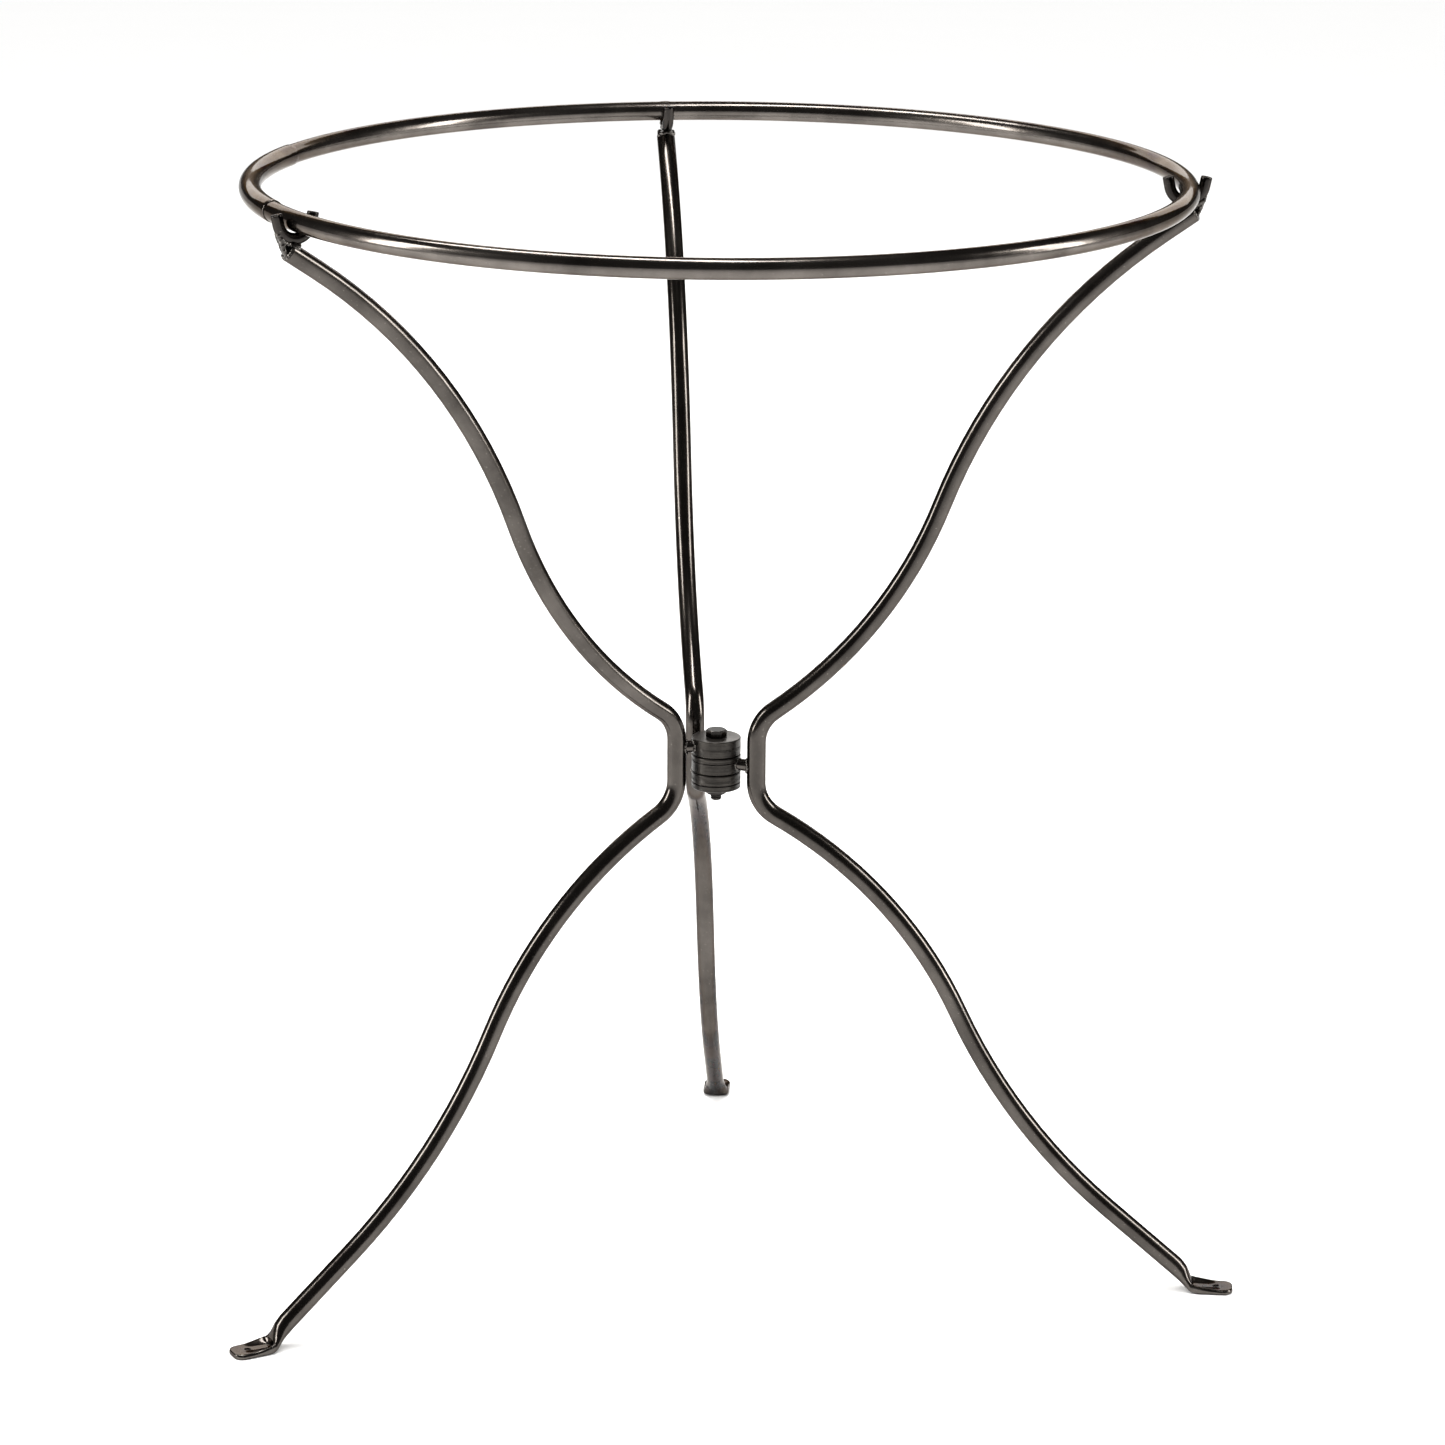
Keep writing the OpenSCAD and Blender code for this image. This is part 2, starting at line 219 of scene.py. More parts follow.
def makeLacquer(name, look, wear=0.35, streaks=True):
    # Warm black lacquer over drawn tube: cloudy colour, faint runs along the tube, orange peel, rubbed edges
    material, nodes, links, shader = newMaterial(name)
    shader.inputs["Metallic"].default_value = look["metal"]
    shader.inputs["Specular Tint"].default_value = (*look["edgeTint"], 1.0)
    shader.inputs["Coat Weight"].default_value = look["coat"]
    shader.inputs["Coat Roughness"].default_value = look["coatRoughness"]
    clouds = noiseOf(nodes, links, 26.0, 5.0)
    cloudy = rangeOf(nodes, links, clouds, 0.32, 0.72, 0.0, 1.0)
    colour = mixColours(nodes, links, cloudy, look["deep"], look["light"])
    # dull specks of dust settled in the lacquer
    specks = rangeOf(nodes, links, noiseOf(nodes, links, 620.0, 3.0), 0.66, 0.74, 0.0, 0.55)
    colour = mixColours(nodes, links, specks, colour, look["dust"])
    # rubbed edges show steel
    geometry = nodes.new("ShaderNodeNewGeometry")
    edges = rangeOf(nodes, links, geometry.outputs["Pointiness"], 0.52, 0.60, 0.0, 1.0)
    patches = rangeOf(nodes, links, noiseOf(nodes, links, 140.0, 4.0), 0.50, 0.66, 0.0, wear)
    rubbed = nodes.new("ShaderNodeMath")
    rubbed.operation = "MULTIPLY"
    links.new(edges, rubbed.inputs[0])
    links.new(patches, rubbed.inputs[1])
    mixColours(nodes, links, rubbed.outputs[0], colour, look["bareSteel"], shader.inputs["Base Color"])
    smears = noiseOf(nodes, links, 9.0, 4.0, (1.0, 1.0, 0.35))
    rangeOf(nodes, links, smears, 0.3, 0.7, *look["roughness"], shader.inputs["Roughness"])
    peel = noiseOf(nodes, links, 330.0, 2.0)
    layers = [(peel, 0.10, 0.25), (noiseOf(nodes, links, 1500.0, 2.0), 0.06, 0.06)]
    if streaks:
        drawn = noiseOf(nodes, links, 1.0, 3.0, (14.0, 900.0, 1.0), coords="UV")
        layers.append((drawn, 0.05, 0.12))
    addBumps(nodes, links, shader, layers)
    return material


turnedLook = {
    "deep": (0.018, 0.0155, 0.0135),
    "light": (0.054, 0.048, 0.042),
    "steel": (0.20, 0.18, 0.16),
    "roughness": (0.34, 0.50),
    "lineScale": 1900.0,
}


def makeTurnedSteel(name, look):
    # Lathe-turned steel under a thin coat: fine tool lines round the rim, worn high spots
    material, nodes, links, shader = newMaterial(name)
    shader.inputs["Metallic"].default_value = 0.8
    shader.inputs["Coat Weight"].default_value = 0.12
    shader.inputs["Coat Roughness"].default_value = 0.16
    clouds = rangeOf(nodes, links, noiseOf(nodes, links, 85.0, 5.0), 0.32, 0.7, 0.0, 1.0)
    colour = mixColours(nodes, links, clouds, look["deep"], look["light"])
    geometry = nodes.new("ShaderNodeNewGeometry")
    edges = rangeOf(nodes, links, geometry.outputs["Pointiness"], 0.52, 0.62, 0.0, 0.5)
    mixColours(nodes, links, edges, colour, look["steel"], shader.inputs["Base Color"])
    flattened = (0.02, 0.02, 1.0)  # draws the noise out round the rim
    toolLines = noiseOf(nodes, links, look["lineScale"], 2.0, flattened)
    rangeOf(nodes, links, toolLines, 0.3, 0.7, *look["roughness"], shader.inputs["Roughness"])
    rings = nodes.new("ShaderNodeTexWave")  # facing marks on the flat ends
    rings.wave_type = "RINGS"
    rings.rings_direction = "Z"
    rings.inputs["Scale"].default_value = 420.0
    rings.inputs["Distortion"].default_value = 0.6
    where = nodes.new("ShaderNodeTexCoord")
    links.new(where.outputs["Object"], rings.inputs["Vector"])
    addBumps(nodes, links, shader, [
        (toolLines, 0.35, 0.06),
        (rings.outputs["Fac"], 0.10, 0.04),
        (noiseOf(nodes, links, 240.0, 3.0), 0.10, 0.2)])
    return material


weldLook = {
    "deep": (0.014, 0.012, 0.010),
    "light": (0.050, 0.044, 0.039),
    # pale colour painted on the weld crests as a highlight
    "crestHighlightColour": (0.26, 0.24, 0.22),
}


def makeWeldFinish(name, look):
    # Lacquered weld: dark cloudy lacquer, with a painted highlight that lightens the crests
    material, nodes, links, shader = newMaterial(name)
    shader.inputs["Metallic"].default_value = 0.9
    shader.inputs["Coat Weight"].default_value = 0.3
    shader.inputs["Coat Roughness"].default_value = 0.06
    clouds = rangeOf(nodes, links, noiseOf(nodes, links, 300.0, 4.0), 0.35, 0.7, 0.0, 1.0)
    colour = mixColours(nodes, links, clouds, look["deep"], look["light"])
    geometry = nodes.new("ShaderNodeNewGeometry")
    # painted highlight: the pointy crests are mixed toward the pale highlight colour
    paintedCrestHighlight = rangeOf(nodes, links, geometry.outputs["Pointiness"], 0.50, 0.60, 0.0, 0.7)
    mixColours(nodes, links, paintedCrestHighlight, colour, look["crestHighlightColour"], shader.inputs["Base Color"])
    rangeOf(nodes, links, noiseOf(nodes, links, 500.0, 3.0), 0.3, 0.7, 0.16, 0.34, shader.inputs["Roughness"])
    addBumps(nodes, links, shader, [
        (noiseOf(nodes, links, 420.0, 4.0), 0.30, 0.3), (noiseOf(nodes, links, 1600.0, 3.0), 0.20, 0.08)])
    return material


def finishPiece(name, mesh, material, body, replaced=(), sharp=32.0):
    mesh.validate()
    mesh.shade_smooth()
    mesh.set_sharp_from_angle(angle=math.radians(sharp))
    piece = bpy.data.objects.new(name, mesh)
    bpy.context.scene.collection.objects.link(piece)
    mesh.materials.clear()
    mesh.materials.append(material)
    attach(piece, body)
    if replaced:
        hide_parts(*replaced)
    return piece


def sweepMesh(name, rings, capStart=True, capEnd=True, closed=False):
    # rings: lists of points of equal length, in millimetres; they make one skin, with the distance
    # along and around it as its UV map
    count = len(rings[0])
    points = [tuple(c * mm for c in p) for ring in rings for p in ring]
    faces, places = [], []
    along = [0.0]
    for before, after in zip(rings, rings[1:]):
        step = sum((Vector(a) - Vector(b)).length for a, b in zip(before[::8], after[::8])) / len(before[::8])
        along.append(along[-1] + step * mm)
    around = [0.0]
    for k in range(count):
        around.append(around[-1] + (Vector(rings[0][k]) - Vector(rings[0][(k + 1) % count])).length * mm)
    spans = len(rings) if closed else len(rings) - 1
    for i in range(spans):
        j = (i + 1) % len(rings)
        for k in range(count):
            m = (k + 1) % count
            faces.append((i * count + k, i * count + m, j * count + m, j * count + k))
            far = along[j] if j else along[-1] + (along[-1] - along[-2])
            places += [(along[i], around[k]), (along[i], around[k + 1])]
            places += [(far, around[k + 1]), (far, around[k])]
    if not closed and capStart:
        faces.append(tuple(range(count - 1, -1, -1)))
        places += [(0.0, around[k]) for k in range(count - 1, -1, -1)]
    if not closed and capEnd:
        start = (len(rings) - 1) * count
        faces.append(tuple(range(start, start + count)))
        places += [(along[-1], around[k]) for k in range(count)]
    mesh = bpy.data.meshes.new(name)
    mesh.from_pydata(points, [], faces)
    layer = mesh.uv_layers.new(name="alongTube")
    for loop, place in zip(layer.data, places):
        loop.uv = place
    return mesh


def ringAt(centre, first, second, radius, count):
    return [tuple(centre + first * (radius * math.cos(a)) + second * (radius * math.sin(a)))
            for a in (2 * math.pi * k / count for k in range(count))]


def latheMesh(name, profile, count=96, height=None):
    # profile: closed list of (radius, z); height: what to add to z, in millimetres
    base = height or 0.0
    rings = []
    for k in range(count):
        a = 2 * math.pi * k / count
        rings.append([(r * math.cos(a), r * math.sin(a), z + base) for r, z in profile])
    return sweepMesh(name, rings, closed=True)


def roundedCorner(corner, before, after, radius, steps=4):
    # replaces a profile's corner by a small round
    c, b, a = Vector(corner), Vector(before), Vector(after)
    start, end = c + (b - c).normalized() * radius, c + (a - c).normalized() * radius
    out = []
    for k in range(steps + 1):
        t = k / steps
        out.append(tuple(start * (1 - t) ** 2 + c * (2 * t * (1 - t)) + end * t ** 2))
    return out


def softProfile(corners, radii, steps=4):
    out = []
    for k, corner in enumerate(corners):
        if radii[k]:
            out += roundedCorner(corner, corners[k - 1], corners[(k + 1) % len(corners)], radii[k], steps)
        else:
            out.append(tuple(corner))
    return out


def smoothStep(low, high, value):
    t = min(1.0, max(0.0, (value - low) / (high - low)))
    return t * t * (3 - 2 * t)


def meltedBeads(name, blobs, voxel=0.42, seed=1, lumps=0.25):
    # blobs: (centre, radius) of drops of weld metal, melted into one skin
    bm = bmesh.new()
    for centre, radius in blobs:
        made = bmesh.ops.create_icosphere(bm, subdivisions=3, radius=radius * mm)
        bmesh.ops.translate(bm, verts=made["verts"], vec=Vector(centre) * mm)
    raw = bpy.data.meshes.new(name + "Raw")
    bm.to_mesh(raw)
    bm.free()
    carrier = bpy.data.objects.new(name + "Raw", raw)
    bpy.context.scene.collection.objects.link(carrier)
    melt = carrier.modifiers.new("melt", "REMESH")
    melt.mode = "VOXEL"
    melt.voxel_size = voxel * mm
    soften = carrier.modifiers.new("soften", "SMOOTH")
    soften.factor = 0.5
    soften.iterations = 3
    graph = bpy.context.evaluated_depsgraph_get()
    mesh = bpy.data.meshes.new_from_object(carrier.evaluated_get(graph))
    mesh.name = name
    bpy.data.objects.remove(carrier)
    bpy.data.meshes.remove(raw)
    normals = [v.normal.copy() for v in mesh.vertices]
    for vertex, normal in zip(mesh.vertices, normals):
        spot = vertex.co / mm * 0.55 + Vector((seed * 3.7, 0, 0))
        vertex.co += normal * (noise.noise(spot) * lumps * mm)
    return mesh


def boxOf(node):
    low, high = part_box(node)
    return [c / mm for c in low], [c / mm for c in high]


mounts = {m["name"]: [c / mm for c in m["pos_m"]] for m in frame["record"]["mounts"]}
ringLow, ringHigh = boxOf("ring_tube")
ringHeight = (ringLow[2] + ringHigh[2]) / 2
ringTubeRadius = (ringHigh[2] - ringLow[2]) / 2
ringRadius = ringHigh[0] - ringTubeRadius
knuckleBox = {leg: boxOf(leg + "_knuckle") for leg in legNames}
knuckleMid = {leg: (knuckleBox[leg][0][2] + knuckleBox[leg][1][2]) / 2 for leg in legNames}
knuckleHigh = knuckleBox["left"][1][2] - knuckleBox["left"][0][2]
knuckleRadius = knuckleBox["left"][1][0]
hubHeight = knuckleMid["right"]
hubTop = knuckleBox["left"][1][2]
hubBottom = knuckleBox["back"][0][2]


legShape = {
    "tubeRadius": 6.75,
    "wall": 1.4,
    "turn": {"left": 210.0, "right": -1.0, "back": 91.0},
    "waistOut": 28.7,
    "waistSide": {"left": -6.7, "right": -12.2, "back": 14.8},
    "twist": {"left": 3.0, "right": 9.0, "back": 8.0},
    "waistAbove": 18.0,
    "waistBelow": 11.5,
    "waistBend": 28.0,
    "upper": {"slope": (34.5, 34.4), "ratio": 0.78, "tail": 24.0, "overrun": 5.0, "drop": 20.0},
    "lower": {"slope": (29.3, 40.3), "ratio": 0.74, "tail": 72.0},
    "around": 56,
}

footShape = {
    "reach": 350.0,
    "tabLength": 31.0,
    "tabWidth": 21.0,
    "tabThick": 3.8,
    "cornerRadius": 7.0,
    "crush": 14.0,
    "crushStart": 20.0,  # before the fold, where the round tube begins to flatten
    "foldRadius": 11.0,
    "holeRadius": 2.5,
    "lipHeight": 2.8,
    "dish": 0.7,
    "dimple": 1.3,
}

cradleShape = {
    "barRadius": 4.0,
    "seatGap": 0.25,
    "sideGap": 0.4,
    "sleeveRadius": 7.65,
    "splay": 12.0,
    "rise": 5.0,
    "around": 36,
}

seatRadius = cradleShape["sleeveRadius"] + cradleShape["sideGap"]
bowRadius = seatRadius + cradleShape["barRadius"]
seatHeight = ringHeight - cradleShape["sleeveRadius"] - cradleShape["seatGap"] + seatRadius


def rad(angle):
    return math.radians(angle)


def armRun(straight, reach, rise, arm):
    # straight, tight bend, bow one way, bow the other way, straight end: solved so that it ends in place
    first, last = (rad(s) for s in arm["slope"])
    ratio, tail, bend = arm["ratio"], arm["tail"], legShape["waistBend"]
    x = reach - bend * (1 - math.sin(first)) - tail * math.cos(last)
    z = rise - straight - bend * math.cos(first) - tail * math.sin(last)
    meanCos = (ratio * math.cos(first) + math.cos(last)) / (1 + ratio)
    meanSin = (ratio * math.sin(first) + math.sin(last)) / (1 + ratio)
    steepest = math.atan2(z, x) + math.acos((x * meanCos + z * meanSin) / math.hypot(x, z))
    bow = x / (1 + ratio) / (math.sin(steepest) - meanSin)
    return [(straight, 0.0), (bend, rad(90) - first), (ratio * bow, first - steepest),
            (bow, steepest - last), (tail, 0.0)]


def traceRun(run, step=6.0, turnStep=2.2):
    # points (out, up, heading) along a run that starts upwards; heading is measured from the horizontal
    x, z, heading = 0.0, 0.0, rad(90)
    out = [(x, z, heading)]
    for size, turn in run:
        if turn == 0:
            count = max(1, math.ceil(size / step))
            for k in range(1, count + 1):
                gone = size * k / count
                out.append((x + gone * math.cos(heading), z + gone * math.sin(heading), heading))
        else:
            side = math.copysign(1.0, turn)
            count = max(3, math.ceil(abs(turn) / rad(turnStep)))
            cx, cz = x + side * size * math.sin(heading), z - side * size * math.cos(heading)
            for k in range(1, count + 1):
                h = heading - turn * k / count
                out.append((cx - side * size * math.sin(h), cz + side * size * math.cos(h), h))
        x, z, heading = out[-1]
    return out


def legPlaces(leg):
    # facts of one leg in its own frame: azimuths, reach and height of its ends
    shape = legShape
    out, side, twist = shape["waistOut"], shape["waistSide"][leg], shape["twist"][leg]
    waistRadius, waistDir = math.hypot(out, side), math.atan2(side, out)
    along = waistRadius * math.cos(waistDir - rad(twist / 2))
    aside = waistRadius * math.sin(waistDir - rad(twist / 2))
    reach = math.sqrt((ringRadius + shape["upper"]["overrun"]) ** 2 - aside ** 2) - along
    endZ = seatHeight - shape["upper"]["drop"]
    turn = rad(shape["turn"][leg])
    return {
        "turn": turn,
        "waist": Vector((out * math.cos(turn) - side * math.sin(turn),
                         out * math.sin(turn) + side * math.cos(turn), 0)),
        "waistRadius": waistRadius,
        "waistDir": turn + waistDir,
        "upperDir": turn + rad(twist / 2),
        "lowerDir": turn - rad(twist / 2),
        "cradleDir": turn + rad(twist / 2) + math.atan2(aside, along + reach),
        "upperReach": reach,
        "upperEndZ": endZ,
    }


def flatLoop(halfWidth, thick, count):
    # a flattened tube's section, from the middle of its underside round, by equal steps of its outline
    r = thick / 2
    flat = max(halfWidth - r, 0.01)
    total = 4 * flat + 2 * math.pi * r
    out = []
    for k in range(count):
        d = total * k / count
        if d < flat:
            out.append((d, 0.0))
        elif d < flat + math.pi * r:
            a = (d - flat) / r
            out.append((flat + r * math.sin(a), r - r * math.cos(a)))
        elif d < 3 * flat + math.pi * r:
            out.append((flat - (d - flat - math.pi * r), thick))
        elif d < 3 * flat + 2 * math.pi * r:
            a = (d - 3 * flat - math.pi * r) / r
            out.append((-flat - r * math.sin(a), r + r * math.cos(a)))
        else:
            out.append((-flat + (d - 3 * flat - 2 * math.pi * r), 0.0))
    return out


def footSection(s, count):
    # s: distance from the fold, negative up the tube. Gives (sideways, up) from the underside
    foot, tube = footShape, legShape["tubeRadius"]
    flatness = smoothStep(-foot["crushStart"], 8.0, s)
    halfWidth, thick = foot["tabWidth"] / 2, foot["tabThick"]
    fromCorner = s - (foot["tabLength"] - foot["cornerRadius"])
    if fromCorner > 0:
        inside = max(foot["cornerRadius"] ** 2 - fromCorner ** 2, 0.0)
        halfWidth += math.sqrt(inside) - foot["cornerRadius"]
    fromTip = foot["tabLength"] - s
    thinning = 1.0 if fromTip > 1.2 else 0.45 + 0.55 * math.sqrt(max(0.0, 1 - (1 - fromTip / 1.2) ** 2))
    lift = thick * (1 - thinning) / 2
    out = []
    lips = foot["lipHeight"] * (1 - smoothStep(-1.0, 22.0, s)) * smoothStep(-9.0, 3.0, s)
    for k, (u, w) in enumerate(flatLoop(halfWidth, thick * thinning, count)):
        w += lift
        side = abs(u) / (foot["tabWidth"] / 2)
        top = smoothStep(0.35, 0.9, (w - lift) / (thick * thinning))
        w += top * lips * smoothStep(0.30, 0.98, side)
        w -= top * foot["dish"] * (1 - smoothStep(0.2, 0.85, side)) * (1 - smoothStep(14.0, 25.0, s))
        w -= top * foot["dimple"] * math.exp(-((s - 0.5) / 3.2) ** 2) * math.exp(-(u / 3.4) ** 2)
        a = 2 * math.pi * k / count
        roundU, roundW = tube * math.sin(a), tube - tube * math.cos(a)
        out.append((roundU + (u - roundU) * flatness, roundW + (w - roundW) * flatness))
    return out


def legRings(leg):
    shape, foot, places = legShape, footShape, legPlaces(leg)
    tube, count = shape["tubeRadius"], shape["around"]
    upper = traceRun(armRun(shape["waistAbove"], places["upperReach"],
                            places["upperEndZ"] - hubHeight, shape["upper"]))
    slope = rad(shape["lower"]["slope"][1])
    fold = foot["reach"] - foot["tabLength"]
    crushReach = fold - foot["crush"] * math.cos(slope) + tube * math.sin(slope)
    crushZ = foot["crush"] * math.sin(slope) + tube * math.cos(slope)
    lower = traceRun(armRun(shape["waistBelow"], crushReach, hubHeight - crushZ, shape["lower"]))
    rings = []

    def addRing(x, z, normal, azimuth, section):
        # x, z: the underside line in the leg's own plane; normal: the direction from it to the top side
        lateral = Vector((-math.sin(azimuth), math.cos(azimuth), 0))
        outward = Vector((math.cos(azimuth), math.sin(azimuth), 0))
        base = places["waist"] + outward * x + Vector((0, 0, z))
        up = outward * normal[0] + Vector((0, 0, normal[1]))
        rings.append([tuple(base + up * w + lateral * u) for u, w in section])

    angles = [2 * math.pi * k / count for k in range(count)]
    roundLoop = [(tube * math.sin(a), tube - tube * math.cos(a)) for a in angles]
    # the open top end: down the bore, round the cut edge, then along the outside
    topX, topZ, topHeading = upper[-1]
    normal = (math.sin(topHeading), -math.cos(topHeading))
    inner = tube - shape["wall"]
    for depth, radius in ((26.0, inner), (0.4, inner), (0.0, inner + 0.35), (0.0, tube - 0.35), (0.35, tube)):
        x = topX - depth * math.cos(topHeading) - normal[0] * tube
        z = hubHeight + topZ - depth * math.sin(topHeading) - normal[1] * tube
        loop = [(radius * math.sin(a), tube - radius * math.cos(a)) for a in angles]
        addRing(x, z, normal, places["upperDir"], loop)
    for x, z, heading in reversed(upper[:-1]):
        normal = (math.sin(heading), -math.cos(heading))
        if z <= shape["waistAbove"] and heading > rad(89.9):
            break
        addRing(x - normal[0] * tube, hubHeight + z - normal[1] * tube, normal, places["upperDir"], roundLoop)
    # the straight waist, over which the leg twists
    tall = shape["waistAbove"] + shape["waistBelow"]
    steps = 12
    for k in range(steps + 1):
        part = k / steps
        azimuth = places["upperDir"] + (places["lowerDir"] - places["upperDir"]) * smoothStep(0, 1, part)
        addRing(-tube, hubHeight + shape["waistAbove"] - tall * part, (1.0, 0.0), azimuth, roundLoop)
    for x, z, heading in lower:
        if z <= shape["waistBelow"]:
            continue
        normal = (math.sin(heading), math.cos(heading))
        s = -foot["crush"] - math.hypot(x - crushReach, z - (hubHeight - crushZ))
        section = footSection(s, count) if s > -foot["crushStart"] - 4 and x > crushReach - 40 else roundLoop
        addRing(x - normal[0] * tube, hubHeight - z - normal[1] * tube, normal, places["lowerDir"], section)
    # from the crushed tube round the fold and along the floor to the tip
    tangent = foot["foldRadius"] * math.tan(slope / 2)
    fine = 0.9
    reach = foot["crush"] - tangent
    for k in range(1, int(reach / fine) + 1):
        d = foot["crush"] - k * fine
        addRing(fold - d * math.cos(slope), d * math.sin(slope), (math.sin(slope), math.cos(slope)),
                places["lowerDir"], footSection(-d, count))
    turns = 9
    for k in range(turns + 1):
        h = slope * (1 - k / turns)
        x = fold + tangent - foot["foldRadius"] * math.sin(h)
        z = foot["foldRadius"] * (1 - math.cos(h))
        s = -tangent + 2 * tangent * k / turns
        addRing(x, z, (math.sin(h), math.cos(h)), places["lowerDir"], footSection(s, count))
    s = tangent + fine
    stops = []
    while s < foot["tabLength"] - foot["cornerRadius"]:
        stops.append(s)
        s += fine
    for k in range(15):
        stops.append(foot["tabLength"] - foot["cornerRadius"] * (1 - math.sin(rad(90) * k / 14)))
    for s in stops:
        section = footSection(min(s, foot["tabLength"] - 0.001), count)
        addRing(fold + s, 0.0, (0.0, 1.0), places["lowerDir"], section)
    return rings


def drillHole(mesh, centre, radius, depth):
    # cuts a round hole down through a mesh
    carrier = bpy.data.objects.new("drilled", mesh)
    bpy.context.scene.collection.objects.link(carrier)
    bm = bmesh.new()
    bmesh.ops.create_cone(bm, cap_ends=True, segments=48,
                          radius1=radius * mm, radius2=radius * mm, depth=depth * mm)
    bmesh.ops.translate(bm, verts=bm.verts, vec=Vector(centre) * mm)
    drill = bpy.data.meshes.new("drill")
    bm.to_mesh(drill)
    bm.free()
    bit = bpy.data.objects.new("drill", drill)
    bpy.context.scene.collection.objects.link(bit)
    cut = carrier.modifiers.new("hole", "BOOLEAN")
    cut.operation = "DIFFERENCE"
    cut.solver = "EXACT"
    cut.object = bit
    graph = bpy.context.evaluated_depsgraph_get()
    cleared = bpy.data.meshes.new_from_object(carrier.evaluated_get(graph))
    for thing in (carrier, bit):
        bpy.data.objects.remove(thing)
    return cleared


def buildLeg(leg, finish):
    mesh = sweepMesh(leg + "LegTube", legRings(leg))
    hole = mounts[leg + "_foot_hole"]
    mesh = drillHole(mesh, (hole[0], hole[1], 4.0), footShape["holeRadius"], 14.0)
    finishPiece(leg + "_leg_tube_bent", mesh, finish, leg + "_leg",
                (leg + "_leg_tube",), sharp=38)


def buildCradle(leg, finish):
    # a round bar bent into an open cradle, its ends sheared off square
    places, shape = legPlaces(leg), cradleShape
    outward = Vector((math.cos(places["cradleDir"]), math.sin(places["cradleDir"]), 0))
    upward = Vector((0, 0, 1))
    seat = outward * ringRadius + upward * seatHeight
    lateral = outward.cross(upward)
    prong = (shape["rise"] + bowRadius * math.sin(rad(shape["splay"]))) / math.cos(rad(shape["splay"]))
    sweepEnd = rad(90 - shape["splay"])
    path = []
    for side in (-1, 1):
        half = []
        steps = 18
        for k in range(steps + 1):
            a = sweepEnd * k / steps
            half.append((outward * side * math.sin(a) - upward * math.cos(a), bowRadius, 0.0))
        for along in (prong * 0.33, prong * 0.66, prong - 0.7, prong - 0.25, prong):
            a = sweepEnd
            half.append((outward * side * math.sin(a) - upward * math.cos(a), bowRadius, along))
        path.append(half)
    rings = []
    ordered = list(reversed(path[0])) + path[1][1:]
    middle = len(path[0]) - 1
    for i, (radial, radius, along) in enumerate(ordered):
        side = -1 if i < middle else 1
        ahead = (outward * math.cos(sweepEnd) * side + upward * math.sin(sweepEnd))
        centre = seat + radial * radius + ahead * along
        fromEnd = prong - along if along else 9.0
        thick = shape["barRadius"] - (0.45 if fromEnd < 0.1 else 0.12 if fromEnd < 0.4 else 0.0)
        rings.append(ringAt(centre, radial, lateral, thick, shape["around"]))
    mesh = sweepMesh(leg + "Cradle", rings)
    finishPiece(leg + "_cradle_bar", mesh, finish, leg + "_leg", (leg + "_cradle",), sharp=40)


cradleWeld = {
    "sideways": 4.9,  # how far the side seams lie from the middle of the bar
    "back": 3.2,  # how far back along the tube the seam closes
    "drop": (1.45, 1.95),
    "ringRoom": 8.5,  # kept free round the ring
    "mouthRows": ((0.0, 1), (2.3, 6), (4.9, 15)),  # radius and number of the drops that close the mouth
    "filletFrom": -6.0,
    "filletStep": 7.0,
    "ribTurn": 56.0,  # from straight down to where the heavy run leaves the outer prong
    "ribSpread": 1.7,
    "ribDrops": 9,
    "jitter": 0.2,
}


